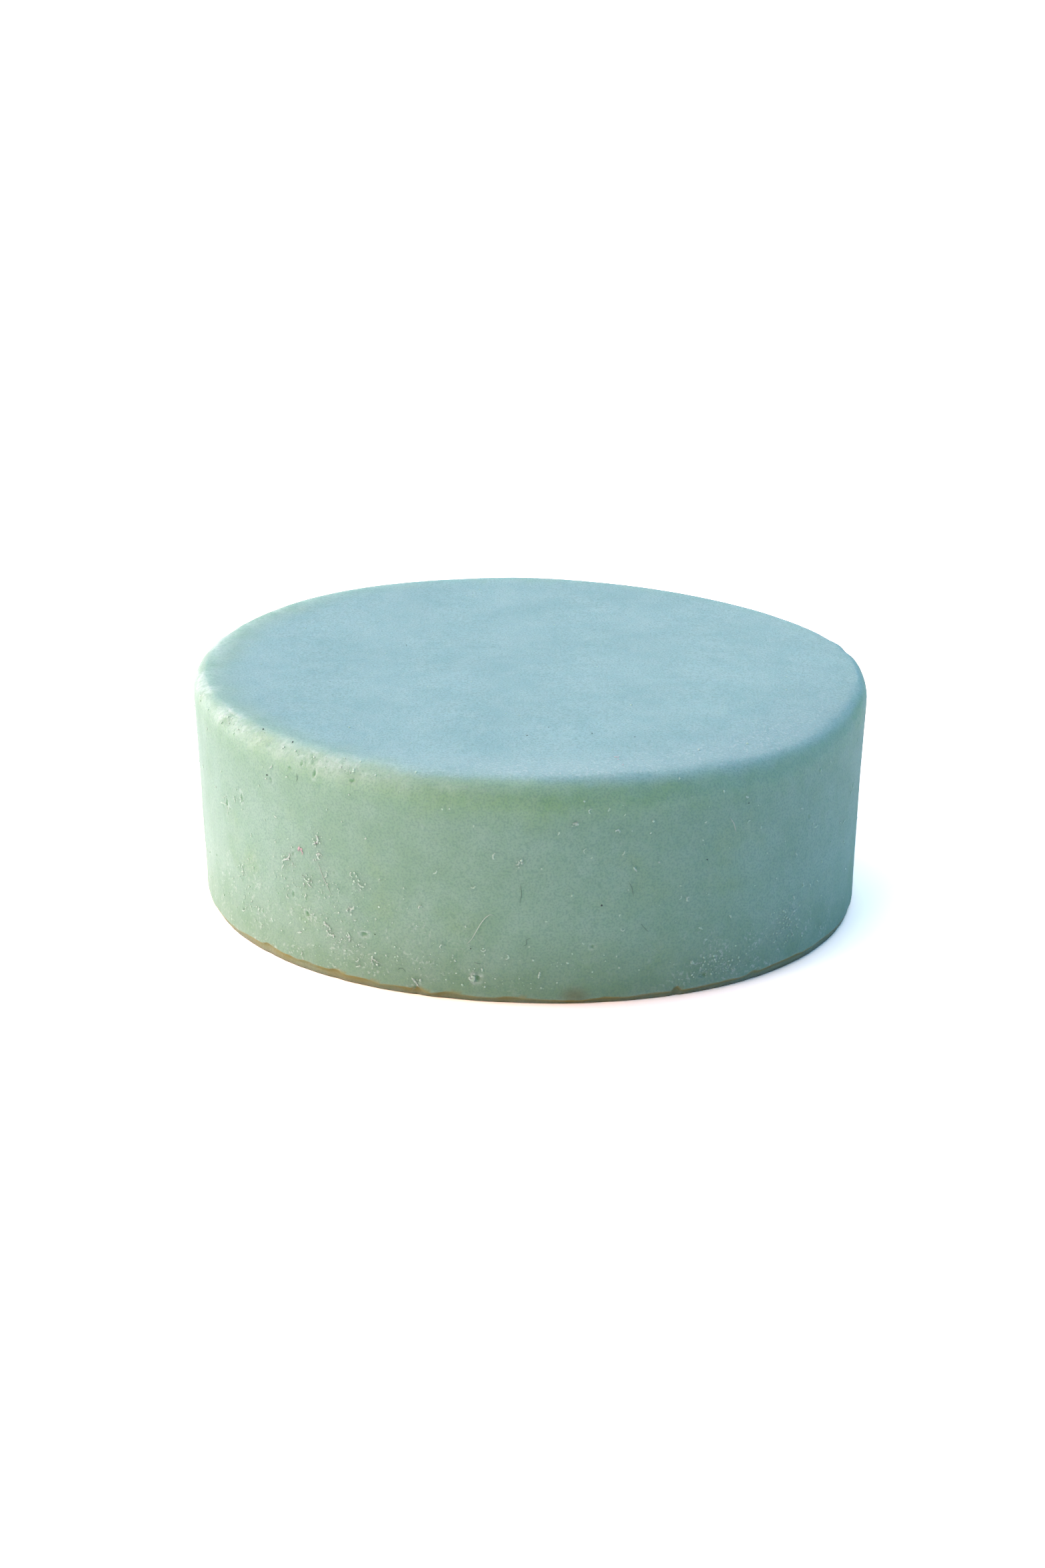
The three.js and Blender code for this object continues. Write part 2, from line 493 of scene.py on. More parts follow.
    # The top face is painted bluer, partly for a dry crust and partly as painted light from the cool sky
    # above. This thins out round the rim, and well inside it on the left, and reaches further over the rim
    # on the right.
    frayed = 0.9 * lattice_noise(points, 3.1, 13) + 0.5 * lattice_noise(points, 1.2, 14) + 0.3 * jag
    rightward = smooth_step(-0.2, 0.7, points[:, 0] / TOP_RADIUS)
    fray = 0.08 * frayed * smooth_step(6, 2, from_edge)
    crust_and_skylight = smooth_step(0.85 - 0.3 * rightward, 1.0, normals[:, 2] + fray)
    crust_and_skylight *= 1 - (0.25 + 0.55 * left) * (1 - smooth_step(0.3, 4.5 + 2 * left, from_edge + 0.7 * frayed))
    # Lather dried to a fine grit just inside the front edge.
    in_front = smooth_step(75, 25, np.abs(np.degrees(turn_gap(turn, -62))))
    grit = on_face * in_front * np.exp(-(((from_edge - 4.5) / 3.5) ** 2))
    # Just under the rim a band is painted greener, a painted glow of light passing through the thin rim,
    # and the foot of the wall is painted darker and deeper green as painted shade near the table.
    rim_glow = np.exp(-(((under_top - 2.4 - 0.3 * frayed) / 1.6) ** 2)) * side
    rim_glow *= 0.3 + 0.7 * np.exp(-(((turn_degrees(turn) + 84) / 20) ** 2))
    low_wall_shade = smooth_step(9, 1, height) * side
    lift = lip_lift(turn)
    # The underside under the lip, to be painted brown as painted shadow.
    below = smooth_step(0.1, -0.35, normals[:, 2]) * (height < lift + 0.25)
    below *= 0.55 + 0.45 * np.clip(height / lift, 0, 1)

    points += normals * push[:, None]
    points[:, 2] = np.maximum(points[:, 2], BOX_LOW[2])
    mesh.vertices.foreach_set("co", (points * MM).ravel())
    painted = {
        "chalk_and_highlight": chalk_and_highlight,
        "pit_shade": pit_shade,
        "dusting": dusting,
        "stain": stain,
        "crust_and_skylight": crust_and_skylight,
        "grit": grit,
        "rim_glow": rim_glow,
        "low_wall_shade": low_wall_shade,
        "below": below,
    }
    for name, values in painted.items():
        layer = mesh.attributes.new(name, "FLOAT", "POINT")
        layer.data.foreach_set("value", np.clip(values, 0, 1).astype(np.float32))
    mesh.update()


def new_piece(name, mesh, material, smooth=True):
    """Links a mesh as a named piece of the puck in the given finish."""
    mesh.materials.append(material)
    mesh.polygons.foreach_set("use_smooth", [smooth] * len(mesh.polygons))
    piece = bpy.data.objects.new(name, mesh)
    bpy.context.scene.collection.objects.link(piece)
    return piece


def make_cake(material):
    """The cake of soap itself, which stands for the frame's solid."""
    mesh = plain_puck()
    pits = list(WALL_PITS) + stray_pits()
    places = [(on_wall(pit[0], pit[1])[0], 1.3 * max(pit[2:4])) for pit in pits]
    places += [(on_wall(chip[0], THICKNESS - 0.6)[0], chip[1]) for chip in RIM_CHIPS if chip[0] < -90]
    refine_near(mesh, places)
    carve(mesh, pits)
    cake = new_piece("soap_cake", mesh, material)
    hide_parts(PUCK)
    return cake


# ------------------------------------------------------------------ loose bits stuck to the soap

# Dried curls and flakes with a place of their own: turn, height, length, how far they bend in degrees.
NAMED_CURLS = (
    (-126.2, 15.6, 1.5, 150),
    (-126.6, 15.1, 0.9, 60),
    (-133.6, 12.1, 1.6, 40),
    (-132.9, 12.6, 1.1, -70),
    (-125.7, 13.8, 1.6, 290),
    (-129.0, 10.7, 1.3, 120),
    (-128.3, 10.2, 0.9, -40),
    (-119.5, 12.7, 0.9, 200),
    (-117.8, 11.7, 1.0, 90),
    (-119.7, 8.9, 1.1, 170),
    (-125.0, 6.1, 0.9, 30),
    (-124.1, 5.2, 1.0, -90),
    (-120.6, 5.4, 1.4, 80),
    (-152.0, 14.7, 1.5, 60),
    (-146.0, 16.4, 1.2, -50),
    (-147.0, 8.4, 1.2, 130),
    (-99.1, 2.8, 1.5, 330),
    (-91.6, 16.2, 0.9, 200),
    (-82.6, 20.5, 0.6, 60),
    (-115.9, 3.4, 0.9, 10),
    (-108.7, 1.6, 1.4, 20),
)
STRAY_CURLS = 210
# Patches where crumbs gather: turn, height, half width, half height, how many.
CRUMB_PATCHES = (
    (-128, 9, 13, 5, 150),
    (-145, 6, 10, 4, 60),
    (-118, 4, 14, 2, 50),
    (-96, 4, 16, 3, 60),
    (-45, 5, 4, 2.4, 90),
    (-58, 2.5, 7, 1.6, 80),
    (-90, 12, 180, 11, 240),
    (-148, 24.2, 12, 0.7, 40),
    (-124, 24.2, 16, 0.8, 50),
)
CRUMBS_ON_TOP = 60
# Pale lint fibres, each as the turns and heights it passes. The last two are on the far side.
LINT_FIBRES = (
    ((-95.3, 10.1), (-96.0, 10.3), (-96.7, 9.9), (-97.5, 9.2), (-98.3, 8.2), (-99.0, 7.3), (-100.0, 6.6)),
    ((-126.2, 13.2), (-125.4, 11.8), (-124.6, 10.9), (-123.8, 10.0)),
    ((-56.0, 19.0), (-55.2, 18.2), (-54.8, 17.1)),
    ((38.0, 14.0), (36.0, 13.0), (35.2, 11.0), (36.1, 9.4)),
    ((131.0, 17.0), (133.0, 16.4), (134.5, 14.9)),
)
# Dark hairlines, the same way. The last three are on the far side.
DARK_HAIRS = (
    ((-91.2, 13.9), (-91.0, 12.7), (-91.3, 11.6)),
    ((-89.6, 7.7), (-90.3, 7.5), (-90.2, 7.0), (-90.9, 6.7)),
    ((-98.7, 4.7), (-98.1, 4.5), (-97.5, 4.6)),
    ((-130.1, 22.4), (-129.9, 21.8), (-130.2, 21.4)),
    ((-111.9, 2.6), (-111.4, 3.0), (-110.8, 3.0), (-110.3, 2.6)),
    ((-74.0, 13.6), (-73.4, 12.8), (-73.2, 11.9)),
    ((-72.0, 8.8), (-71.2, 8.1), (-70.6, 7.7)),
    ((20.0, 15.0), (20.8, 13.6), (20.4, 12.4)),
    ((75.0, 6.0), (76.2, 5.4), (77.5, 5.5)),
    ((160.0, 11.0), (159.2, 9.8), (159.6, 8.7)),
)
DARK_SPECKS_ON_WALL = (
    (-115.6, 6.4, 0.10),
    (-141.7, 25.1, 0.13),
    (-133.5, 24.8, 0.12),
    (-137.5, 20.9, 0.13),
    (-78.4, 11.2, 0.16),
    (-99.2, 6.2, 0.12),
    (-52.0, 20.0, 0.11),
    (-60.4, 14.8, 0.10),
    (30.0, 18.0, 0.12),
    (104.0, 9.0, 0.13),
    (170.0, 20.0, 0.11),
)
DARK_SPECKS_ON_TOP = (
    (-0.1, -23.4, 0.13),
    (2.2, -20.6, 0.10),
    (6.8, -22.4, 0.14),
    (11.3, -23.3, 0.11),
    (-14.0, 8.0, 0.12),
    (19.0, 14.0, 0.10),
    (-22.0, -6.0, 0.09),
)
PINK_FLECKS = ((-130.2, 13.9, 0.30), (-129.6, 13.6, 0.16), (-72.5, 24.9, 0.24))


def touch(skin, outside, inward):
    """Where a straight line from outside meets the cake, and the way its skin faces there."""
    point, facing, _, _ = skin.ray_cast(Vector(outside), Vector(inward))
    return np.array(point), np.array(facing)


def touch_wall(skin, degrees, height):
    radial = Vector((math.cos(math.radians(degrees)), math.sin(math.radians(degrees)), 0))
    return touch(skin, on_wall(degrees, height, 4)[0], -radial)


def touch_top(skin, x, y):
    return touch(skin, on_top(x, y, 4)[0], (0, 0, -1))


def unit(vector):
    return vector / np.linalg.norm(vector)


def skin_axes(facing):
    """Two directions that lie in the skin: level with the table, and across that."""
    level = unit(np.cross((0.02, 0.01, 1), facing))
    return level, np.cross(facing, level)


def strand(path, facings, half_width, half_depth, ragged=0.0):
    """A closed strand along a path, flat to the skin and tapering to a point at both ends."""
    path, facings = np.array(path), np.array(facings)
    points = [path[0]]
    last = len(path) - 1
    for index in range(1, last):
        along = unit(path[index + 1] - path[index - 1])
        out = unit(facings[index] - along * np.dot(facings[index], along))
        sideways = np.cross(along, out)
        fullness = math.sin(math.pi * index / last) ** 0.5
        fullness *= 1 + ragged * math.sin(index * 4.1 + 9 * float(path[0][0]))
        for turn in np.arange(6) * math.pi / 3:
            offset = sideways * half_width * math.cos(turn) + out * half_depth * math.sin(turn)
            points.append(path[index] + offset * fullness)
    points.append(path[last])
    rows = last - 1
    tip = len(points) - 1
    faces = []
    for side in range(6):
        beside = (side + 1) % 6
        faces.append((0, 1 + beside, 1 + side))
        for row in range(rows - 1):
            here, there = 1 + row * 6, 7 + row * 6
            faces.append((here + side, here + beside, there + beside, there + side))
        end = 1 + (rows - 1) * 6
        faces.append((end + side, end + beside, tip))
    return points, faces


def curl(place, facing, length, bend_degrees, heading, half_width, lift):
    """A dried shaving of soap: a thin strip that bends in the skin and lifts off it at one end."""
    level, across = skin_axes(facing)
    steps = 9
    step = length / steps
    angle = heading
    path = [np.array(place) + facing * 0.02]
    for index in range(steps):
        angle += math.radians(bend_degrees) / steps
        ahead = level * math.cos(angle) + across * math.sin(angle)
        rise = lift * ((index + 1) / steps) ** 2 * 2 / steps
        path.append(path[-1] + ahead * step + facing * rise)
    path = np.array(path) - (np.mean(path, axis=0) - np.array(place) - facing * 0.02)
    return strand(path, [facing] * len(path), half_width, 0.045, ragged=0.45)


def icosahedron_corners():
    """The 12 corners of a regular solid with 20 faces, whose edges are two units long."""
    ratio = (1 + math.sqrt(5)) / 2
    corners = [(0, a, b * ratio) for a in (-1, 1) for b in (-1, 1)]
    corners += [(a, b * ratio, 0) for a in (-1, 1) for b in (-1, 1)]
    corners += [(b * ratio, 0, a) for a in (-1, 1) for b in (-1, 1)]
    return np.array(corners, float)


def grain(draw, place, facing, size, flatness=0.6):
    """A crumb: a lopsided closed lump pressed on the skin."""
    level, across = skin_axes(facing)
    knobs = ICOSAHEDRON_CORNERS / CORNER_REACH
    knobs *= draw.uniform(0.7, 1.25, (12, 1)) * size * np.array([draw.uniform(0.7, 1.5), 1, flatness])
    spin = draw.uniform(0, math.pi)
    a, b = level * math.cos(spin) + across * math.sin(spin), across * math.cos(spin) - level * math.sin(spin)
    points = [place + a * u + b * v + facing * (w + size * flatness * 0.35) for u, v, w in knobs]
    return points, ICOSAHEDRON_FACES


def icosahedron_faces():
    """Faces of the solid that grain() bends: every three corners that are two units apart."""
    faces = []
    for trio in itertools.combinations(range(12), 3):
        p, q, r = ICOSAHEDRON_CORNERS[list(trio)]
        if all(abs(np.linalg.norm(d) - 2) < 0.01 for d in (p - q, q - r, r - p)):
            outward = np.dot(np.cross(q - p, r - p), p + q + r) > 0
            faces.append(trio if outward else trio[::-1])
    return faces


ICOSAHEDRON_CORNERS = icosahedron_corners()
ICOSAHEDRON_FACES = icosahedron_faces()
CORNER_REACH = 1.9  # how far a corner is from the middle, in units


def heap(name, solids, material, smooth=True):
    """One piece made of many small closed solids, each given as points in millimetres and faces."""
    points, faces = [], []
    for solid_points, solid_faces in solids:
        start = len(points)
        points.extend((np.array(point) * MM).tolist() for point in solid_points)
        faces.extend(tuple(start + corner for corner in face) for face in solid_faces)
    mesh = bpy.data.meshes.new(name)
    mesh.from_pydata(points, [], faces)
    return new_piece(name, mesh, material, smooth)


def run_on_wall(skin, stops, lift):
    """A fine path over the wall through stops of (turn, height), `lift` proud of the skin."""
    stops = np.array(stops)
    fine = np.linspace(0, len(stops) - 1, 4 * len(stops))
    degrees = np.interp(fine, np.arange(len(stops)), stops[:, 0])
    heights = np.interp(fine, np.arange(len(stops)), stops[:, 1])
    for line in (degrees, heights):
        line[1:-1] = (line[:-2] + 2 * line[1:-1] + line[2:]) / 4
    met = [touch_wall(skin, d, h) for d, h in zip(degrees, heights)]
    return [place + facing * lift for place, facing in met], [facing for _, facing in met]


def make_curls(skin, material):
    """Curls and flakes of dried soap, the named ones and strays, most of them low at the left."""
    draw = np.random.default_rng(SEED + 2)
    curls = []
    for degrees, height, length, bend in NAMED_CURLS:
        place, facing = touch_wall(skin, degrees, height)
        heading = draw.uniform(0, 2 * math.pi)
        curls.append(curl(place, facing, length, bend, heading, draw.uniform(0.09, 0.17), 0.10))
    made = 0
    while made < STRAY_CURLS:
        degrees, height = draw.uniform(-180, 180), draw.uniform(1.8, 24.4)
        busy = math.exp(-(((degrees + 130) / 20) ** 2)) * (0.45 + 0.55 * (height < 14))
        busy = max(busy, 0.22 + 0.12 * (height < 8))
        if draw.uniform(0, 1) > busy:
            continue
        place, facing = touch_wall(skin, degrees, height)
        length, bend = draw.uniform(0.3, 0.95), draw.uniform(-240, 240)
        half_width, heading = draw.uniform(0.05, 0.12), draw.uniform(0, 2 * math.pi)
        curls.append(curl(place, facing, length, bend, heading, half_width, draw.uniform(0, 0.08)))
        made += 1
    return heap("soap_curls", curls, material)


def make_crumbs(skin, material):
    """Crumbs of dried soap in patches on the wall and rim, and a few on the top face."""
    draw = np.random.default_rng(SEED + 3)
    crumbs = []
    for middle, level, half_width, half_height, count in CRUMB_PATCHES:
        for _ in range(count):
            if half_width < 90:
                degrees = draw.normal(middle, half_width / 2)
                height = draw.normal(level, half_height / 2)
            else:
                degrees = draw.uniform(-180, 180)
                height = draw.uniform(level - half_height, level + half_height)
            place, facing = touch_wall(skin, degrees, float(np.clip(height, 1.9, THICKNESS - 0.4)))
            crumbs.append(grain(draw, place, facing, 0.04 + 0.11 * draw.uniform(0, 1) ** 2, 0.5))
    for degrees, height, length, _ in NAMED_CURLS:
        for _ in range(5):
            away, up = draw.normal(0, length * 0.4, 2)
            level = float(np.clip(height + up, 1.9, THICKNESS - 0.4))
            place, facing = touch_wall(skin, degrees + math.degrees(away / TOP_RADIUS), level)
            crumbs.append(grain(draw, place, facing, draw.uniform(0.06, 0.18), 0.4))
    for _ in range(CRUMBS_ON_TOP):
        turn, radius = draw.uniform(0, 2 * math.pi), 35.5 * math.sqrt(draw.uniform(0.05, 1))
        place, facing = touch_top(skin, radius * math.cos(turn), radius * math.sin(turn))
        crumbs.append(grain(draw, place, facing, draw.uniform(0.04, 0.09), 0.5))
    for x, y, size in ((11.3, -12.7, 0.12), (18, -26.1, 0.13), (23.3, -23, 0.13), (-19, -21.6, 0.15)):
        place, facing = touch_top(skin, x, y)
        crumbs.append(grain(draw, place, facing, size, 0.5))
    return heap("soap_crumbs", crumbs, material)


def make_fibres(name, skin, material, runs, half_width):
    """Fibres lying on the wall, as round strands.

    A cotton fibre would be too fine to show, so lint is drawn four or five times coarser. A hair is
    drawn at its true width.
    """
    fibres = []
    for stops in runs:
        path, facings = run_on_wall(skin, stops, half_width * 0.6)
        fibres.append(strand(path, facings, half_width, half_width))
    return heap(name, fibres, material)


def make_specks(skin, material):
    """Specks of dust pressed into the wall and the top face."""
    draw = np.random.default_rng(SEED + 4)
    specks = []
    for degrees, height, size in DARK_SPECKS_ON_WALL:
        place, facing = touch_wall(skin, degrees, min(height, THICKNESS - 0.3))
        specks.append(grain(draw, place, facing, size * 0.8))
    for x, y, size in DARK_SPECKS_ON_TOP:
        place, facing = touch_top(skin, x, y)
        specks.append(grain(draw, place, facing, size * 0.65))
    return heap("dark_specks", specks, material)


def make_pink_flecks(skin, material):
    """Flecks of another, pink soap that rubbed off on this one."""
    draw = np.random.default_rng(SEED + 5)
    flecks = []
    for degrees, height, size in PINK_FLECKS:
        for _ in range(5):
            away, up = draw.normal(0, size / 2, 2)
            place, facing = touch_wall(skin, degrees + math.degrees(away / TOP_RADIUS), height + up)
            flecks.append(grain(draw, place, facing, size * draw.uniform(0.3, 0.6), 0.35))
    return heap("pink_flecks", flecks, material)


# ------------------------------------------------------------------ finishes

SOAP_IOR = 1.46
# How far red, green and blue light spread in soap, against each other.
SOAP_SPREAD = (0.8, 1.0, 0.85)
CAKE_SPREAD_MM = 3.5
SHAVING_SPREAD_MM = 0.2
PAPER_WHITE = (0.92, 0.92, 0.91)
PAPER_AS_SEEN = (3.15, 2.5, 2.4)
PAPER_HALF_WIDTH = 4.0  # in metres

def paint(hex_colour):
    """A linear colour from an sRGB hex value."""
    channels = [int(hex_colour[i : i + 2], 16) / 255 for i in (1, 3, 5)]
    linear = [c / 12.92 if c <= 0.04045 else ((c + 0.055) / 1.055) ** 2.4 for c in channels]
    return (*linear, 1.0)


def add(tree, kind, inputs=None, **settings):
    """Adds a node. Inputs maps a socket's name or number to a value, or to the output that feeds it."""
    made = tree.nodes.new(kind)
    for name, value in settings.items():
        setattr(made, name, value)
    for socket, value in (inputs or {}).items():
        if isinstance(value, bpy.types.NodeSocket):
            tree.links.new(value, made.inputs[socket])
        else:
            made.inputs[socket].default_value = value
    return made


def finish_named(name):
    """A new material with an empty tree, its shader and its output."""
    material = bpy.data.materials.new(name)
    material.use_nodes = True
    tree = material.node_tree
    tree.nodes.clear()
    shader = add(tree, "ShaderNodeBsdfPrincipled")
    add(tree, "ShaderNodeOutputMaterial", {"Surface": shader.outputs[0]})
    return material, tree, shader


def milled_soap():
    """Hard milled soap, cut with a wire and left to dry.

    Light sinks about three millimetres into it, so edges glow. The wall is waxy green; the top face
    is bluish, partly a crusted dried skin and partly painted light from a cool sky; dried soap powders
    white round the pits and low on the wall, and the rim is painted pale, partly chalky and partly as
    a painted highlight. The pits, the foot of the wall and the underside under the lip are painted
    darker as painted shade, and a band under the rim is painted greener as a painted glow.
    """
    material, tree, shader = finish_named("milled_soap_wire_cut")
    place = add(tree, "ShaderNodeTexCoord").outputs["Object"]

    def noise(size_mm, detail=2.0, roughness=0.5, where=place):
        inputs = {"Vector": where, "Scale": 1 / (size_mm * MM), "Detail": detail, "Roughness": roughness}
        return add(tree, "ShaderNodeTexNoise", inputs).outputs[0]

    def ramp(value, low, high, bottom=0.0, top=1.0):
        inputs = {0: value, 1: low, 2: high, 3: bottom, 4: top}
        return add(tree, "ShaderNodeMapRange", inputs, interpolation_type="SMOOTHSTEP").outputs[0]

    def math_of(operation, first, second):
        return add(tree, "ShaderNodeMath", {0: first, 1: second}, operation=operation).outputs[0]

    def blend(share, under, over, way="MIX"):
        inputs = {0: share, 6: under, 7: over}
        return add(tree, "ShaderNodeMix", inputs, data_type="RGBA", blend_type=way).outputs[2]

    def painted(name):
        return add(tree, "ShaderNodeAttribute", attribute_name=name).outputs["Fac"]

    chalk_and_highlight, pit_shade, crust_and_skylight = painted("chalk_and_highlight"), painted("pit_shade"), painted("crust_and_skylight")
    dusting, stain = painted("dusting"), painted("stain")
    rim_glow, low_wall_shade, below = painted("rim_glow"), painted("low_wall_shade"), painted("below")
    cloudy = ramp(noise(11, 3), 0.35, 0.65)
    body = blend(cloudy, paint("#a5c7ad"), paint("#abccb5"))
    yellowing = ramp(noise(7, 2), 0.52, 0.75)
    body = blend(math_of("MULTIPLY", yellowing, 0.42), body, paint("#a9c898"))
    # A painted glow under the rim, and painted shade low on the wall.
    body = blend(math_of("MULTIPLY", rim_glow, 0.85), body, paint("#a4c99c"))
    body = blend(math_of("MULTIPLY", low_wall_shade, 0.6), body, paint("#8fb18d"))
    # The top face's blue is partly a dry crust and partly painted light from the cool sky above.
    crust_and_sky_cloud = ramp(noise(9, 4, 0.6), 0.3, 0.7)
    crust_and_sky_tint = blend(crust_and_sky_cloud, paint("#a3cacb"), paint("#add2d3"))
    colour = blend(crust_and_skylight, body, crust_and_sky_tint)
    # Mottling from 3 mm down to 0.2 mm keeps the surface from looking poured.
    mottle = ramp(noise(3.0, 4, 0.7), 0.34, 0.66)
    colour = blend(math_of("MULTIPLY", mottle, ramp(crust_and_skylight, 0, 1, 0.17, 0.20)), colour, paint("#d0e4e0"))
    specks = ramp(noise(0.22, 2, 0.6), 0.42, 0.66)
    colour = blend(math_of("MULTIPLY", specks, ramp(crust_and_skylight, 0, 1, 0.34, 0.38)), colour, paint("#6f9a92"))
    # The wire left a few long faint smears across the face.
    turned = add(tree, "ShaderNodeMapping", {"Vector": place, "Rotation": (0, 0, math.radians(-8))})
    drawn = add(tree, "ShaderNodeMapping", {"Vector": turned.outputs[0], "Scale": (0.1, 1, 1)})
    smears = ramp(noise(1.3, 2, 0.5, drawn.outputs[0]), 0.60, 0.75)
    colour = blend(math_of("MULTIPLY", smears, ramp(crust_and_skylight, 0.5, 1, 0, 0.16)), colour, paint("#86b0b2"))
    grit = painted("grit")
    colour = blend(math_of("MULTIPLY", grit, 0.35), colour, paint("#cbe6e4"))
    grains = math_of("MULTIPLY", grit, ramp(noise(0.3, 2, 0.6), 0.54, 0.64))
    colour = blend(math_of("MULTIPLY", grains, 0.5), colour, paint("#e2f0ee"))
    # Painted shade darkens the bowls of the pits.
    colour = blend(math_of("MULTIPLY", pit_shade, 0.35), colour, paint("#93b795"))
    # White for chalk on pit lips and rim dabs, and painted highlight on the rim and the far left of the
    # wall.
    powder = ramp(noise(0.5, 4, 0.7), 0.36, 0.62, 0.45, 1.0)
    colour = blend(math_of("MULTIPLY", chalk_and_highlight, powder), colour, paint("#e1f0e8"))
    # Dust gathers in 2 mm patches of 0.35 mm flecks, with a faint bloom round them.
    patches, flecks = ramp(noise(2.6, 2), 0.44, 0.60), ramp(noise(0.35, 2, 0.5), 0.55, 0.66)
    bloom = math_of("MULTIPLY", dusting, ramp(noise(6, 2), 0.35, 0.65, 0.02, 0.10))
    colour = blend(bloom, colour, paint("#d3e0d2"))
    dust = math_of("MULTIPLY", math_of("MULTIPLY", dusting, patches), flecks)
    colour = blend(math_of("MULTIPLY", dust, 0.7), colour, paint("#d3e2d6"))
    colour = blend(math_of("MULTIPLY", stain, 0.5), colour, paint("#8d7f55"))
    # The underside under the lip is painted brown in patches, as painted shadow where the lip stands off the
    # table.
    lip_shadow_paint = math_of("MULTIPLY", below, ramp(noise(5, 3), 0.35, 0.6, 0.65, 0.95))
    colour = blend(lip_shadow_paint, colour, paint("#b09e5c"))
    tree.links.new(colour, shader.inputs["Base Color"])

    dryness = math_of("MAXIMUM", crust_and_skylight, chalk_and_highlight)
    tree.links.new(ramp(dryness, 0, 1, 0.5, 0.72), shader.inputs["Roughness"])
    # Pressed soap grain is about 0.3 mm; the waxy wall is smoother than the dry crust.
    fine, coarse = noise(0.3, 3, 0.7), noise(1.4, 2)
    gritty = math_of("MULTIPLY", grit, 0.8)
    grain_height = math_of("ADD", ramp(dryness, 0, 1, 0.65, 0.9), gritty)
    relief = math_of("ADD", math_of("MULTIPLY", fine, grain_height), coarse)
    bump = add(tree, "ShaderNodeBump", {"Height": relief, "Distance": 0.12 * MM, "Strength": 1.0})
    tree.links.new(bump.outputs[0], shader.inputs["Normal"])
    shader.inputs["IOR"].default_value = SOAP_IOR
    shader.inputs["Subsurface Weight"].default_value = 1.0
    shader.inputs["Subsurface Radius"].default_value = SOAP_SPREAD
    shader.inputs["Subsurface Scale"].default_value = CAKE_SPREAD_MM * MM
    return material


def plain_finish(name, hex_colour, roughness, ior, shade_hex, patch_mm):
    """A small thing's finish: two near shades in patches, and the usual gloss of its material."""
    material, tree, shader = finish_named(name)
    place = add(tree, "ShaderNodeTexCoord").outputs["Object"]
    inputs = {"Vector": place, "Scale": 1 / (patch_mm * MM), "Detail": 2.0}
    patch = add(tree, "ShaderNodeTexNoise", inputs).outputs[0]
    inputs = {0: patch, 6: paint(hex_colour), 7: paint(shade_hex)}
    mixed = add(tree, "ShaderNodeMix", inputs, data_type="RGBA").outputs[2]
    tree.links.new(mixed, shader.inputs["Base Color"])
    shader.inputs["Roughness"].default_value = roughness
    shader.inputs["IOR"].default_value = ior
    return material, shader


def dried_soap():
    """Soap that dried through: paler than the cake, dull, and still a little translucent."""
    name = "dried_soap_shavings"
    material, shader = plain_finish(name, "#dcf8e0", 0.62, SOAP_IOR, "#c5e8cb", 0.3)
    shader.inputs["Subsurface Weight"].default_value = 1.0
    shader.inputs["Subsurface Radius"].default_value = SOAP_SPREAD
    shader.inputs["Subsurface Scale"].default_value = SHAVING_SPREAD_MM * MM
    return material


def make_table():
    """A wide sweep of matt white paper under the puck.

    Its colour is past white to the camera's own rays only, which burns the paper out as a studio
    does. The soap is lit by plain paper, so none of this reaches it.
    """
    material = bpy.data.materials.new("matt_white_paper")
    material.use_nodes = True
    tree = material.node_tree
    tree.nodes.clear()
    seen = add(tree, "ShaderNodeLightPath").outputs["Is Camera Ray"]
    inputs = {0: seen, 6: (*PAPER_WHITE, 1), 7: (*PAPER_AS_SEEN, 1)}
    tone = add(tree, "ShaderNodeMix", inputs, data_type="RGBA").outputs[2]
    paper = add(tree, "ShaderNodeBsdfDiffuse", {"Color": tone})
    add(tree, "ShaderNodeOutputMaterial", {"Surface": paper.outputs[0]})
    half = PAPER_HALF_WIDTH
    mesh = bpy.data.meshes.new("table_sheet")
    corners = [(-half, -half, 0), (half, -half, 0), (half, half, 0), (-half, half, 0)]
    mesh.from_pydata(corners, [], [(0, 1, 2, 3)])
    table = new_piece("table_sheet", mesh, material, smooth=False)
    table.location.z = cad_bounds[0][2]


# Broad soft lights: name, turn around the puck, height over the table and softness in degrees,
# strength, and colour. A cool sky panel hangs over the back. A long window fills the left, warmer
# towards the front. A weak blue bounce comes from the right.
SOFT_LIGHTS = (
    ("sky_panel", 80, 58, 60, 1.74, (0.63, 0.85, 1.0)),
    ("left_window_back", 150, 22, 50, 1.95, (1.0, 0.91, 0.97)),
    ("left_window_middle", -170, 22, 50, 1.78, (1.0, 0.79, 0.76)),
    ("left_window_front", -135, 22, 40, 0.79, (1.0, 0.94, 0.74)),
    ("right_bounce", -10, 20, 50, 0.96, (0.20, 0.53, 1.0)),
)


def soft_light(name, turn_degrees, height_degrees, softness_degrees, strength, colour):
    data = bpy.data.lights.new(name, "SUN")
    data.energy = strength
    data.angle = math.radians(softness_degrees)
    data.color = colour
    lamp = bpy.data.objects.new(name, data)
    turn, height = math.radians(turn_degrees), math.radians(height_degrees)
    level = math.cos(height)
    towards = Vector((math.cos(turn) * level, math.sin(turn) * level, math.sin(height)))
    lamp.rotation_euler = towards.to_track_quat("Z", "Y").to_euler()
    bpy.context.scene.collection.objects.link(lamp)


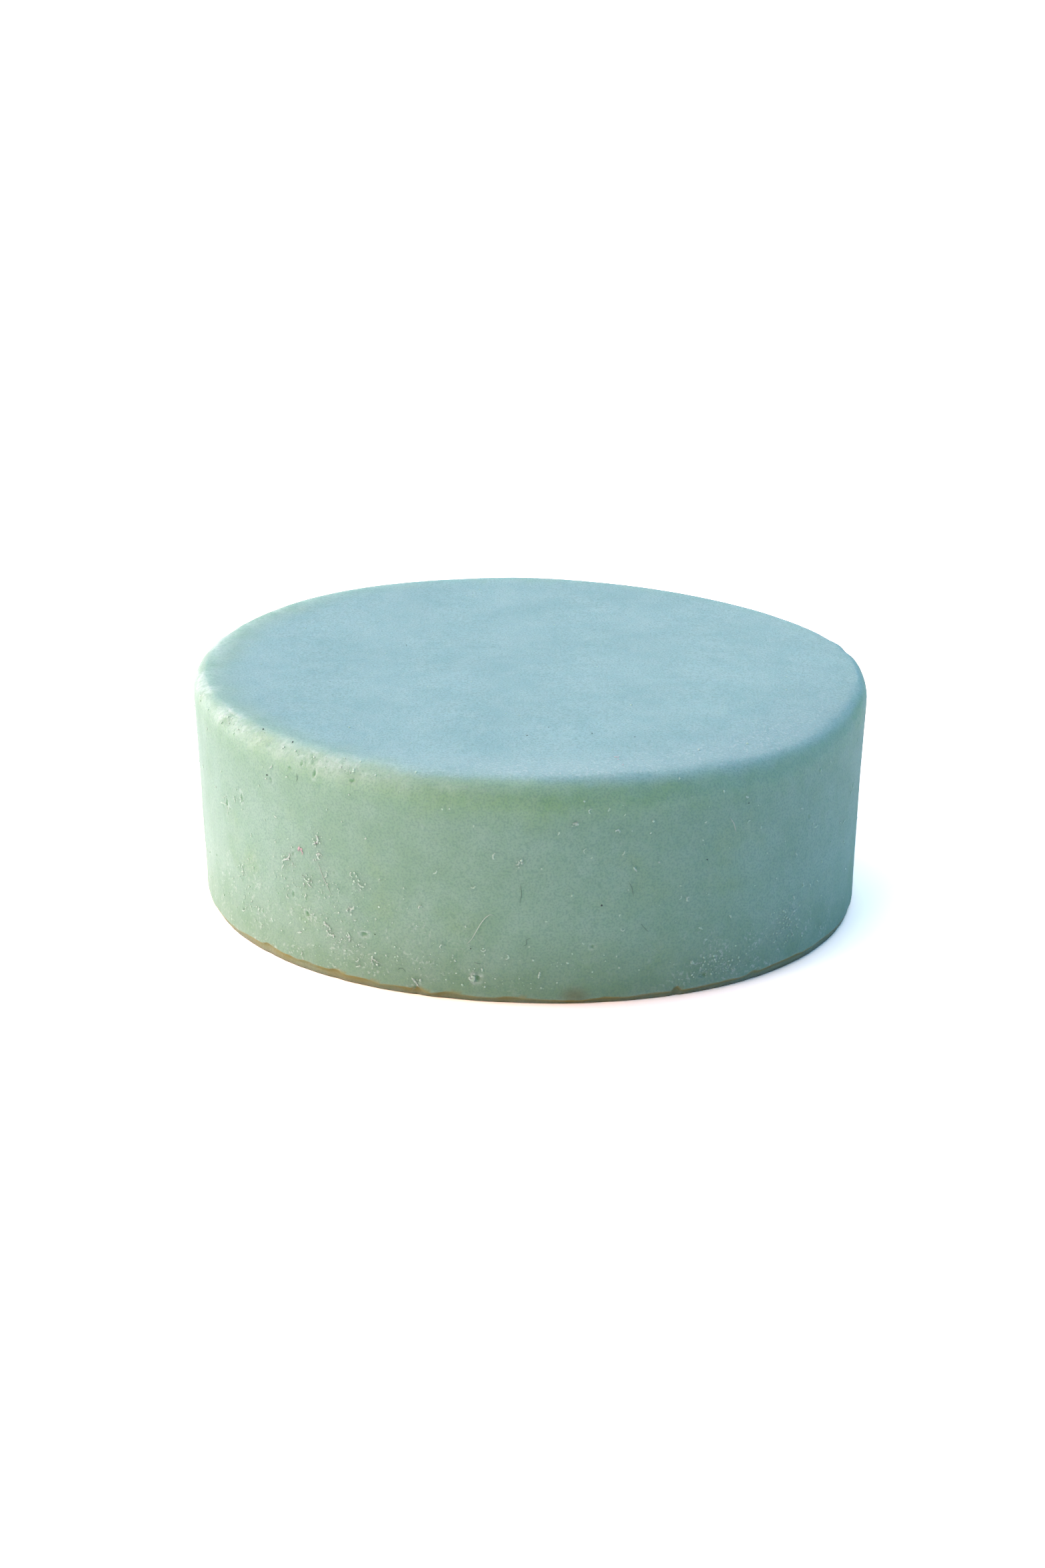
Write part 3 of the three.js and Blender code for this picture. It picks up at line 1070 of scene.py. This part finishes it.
def light_studio():
    """The soft lights, and a white room behind it all that only the eye sees."""
    for light in SOFT_LIGHTS:
        soft_light(*light)
    world = bpy.data.worlds.new("white_room")
    world.use_nodes = True
    tree = world.node_tree
    tree.nodes.clear()
    seen = add(tree, "ShaderNodeLightPath").outputs["Is Camera Ray"]
    room = add(tree, "ShaderNodeBackground", {"Color": (0, 0, 0, 1), "Strength": 0.0})
    wall = add(tree, "ShaderNodeBackground", {"Color": (1, 1, 1, 1), "Strength": 1.0})
    both = add(tree, "ShaderNodeMixShader", {0: seen, 1: room.outputs[0], 2: wall.outputs[0]})
    add(tree, "ShaderNodeOutputWorld", {"Surface": both.outputs[0]})
    bpy.context.scene.world = world
    bpy.context.scene.view_settings.view_transform = "Standard"


CAMERA_ELEVATION = 19.87
CAMERA_DISTANCE = 355.0
CAMERA_LENS = 71.2
CAMERA_AIM = (-1.05, 0.0, 11.2)


def set_camera():
    data = bpy.data.cameras.new("view")
    data.lens = CAMERA_LENS
    data.sensor_width = 36.0
    data.clip_start = 0.01
    data.clip_end = 20.0
    camera = bpy.data.objects.new("view", data)
    elevation = math.radians(CAMERA_ELEVATION)
    back = Vector((0, -math.cos(elevation), math.sin(elevation)))
    camera.location = (Vector(CAMERA_AIM) + back * CAMERA_DISTANCE) * MM
    camera.rotation_euler = back.to_track_quat("Z", "Y").to_euler()
    bpy.context.scene.collection.objects.link(camera)
    bpy.context.scene.camera = camera


# ------------------------------------------------------------------ the scene

set_camera()
light_studio()
make_table()
cake = make_cake(milled_soap())
skin = BVHTree.FromPolygons(
    [tuple(point / MM) for point in mesh_points(cake.data)],
    [tuple(face.vertices) for face in cake.data.polygons],
)
shavings = dried_soap()
lint, _ = plain_finish("pale_cotton_lint", "#dfe6dc", 0.9, 1.53, "#cbd6ca", 0.5)
hair, _ = plain_finish("greyed_hair", "#64776c", 0.5, 1.55, "#788b80", 0.5)
soot, _ = plain_finish("dark_dust", "#4a5654", 0.9, 1.5, "#66706e", 0.1)
pink, _ = plain_finish("pink_soap_fleck", "#dfb3bf", 0.6, SOAP_IOR, "#ecd3d6", 0.2)
pieces = [
    cake,
    make_curls(skin, shavings),
    make_crumbs(skin, shavings),
    make_fibres("lint_fibres", skin, lint, LINT_FIBRES, 0.045),
    make_fibres("dark_hairs", skin, hair, DARK_HAIRS, 0.028),
    make_specks(skin, soot),
    make_pink_flecks(skin, pink),
]
for piece in pieces:
    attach(piece, "root")
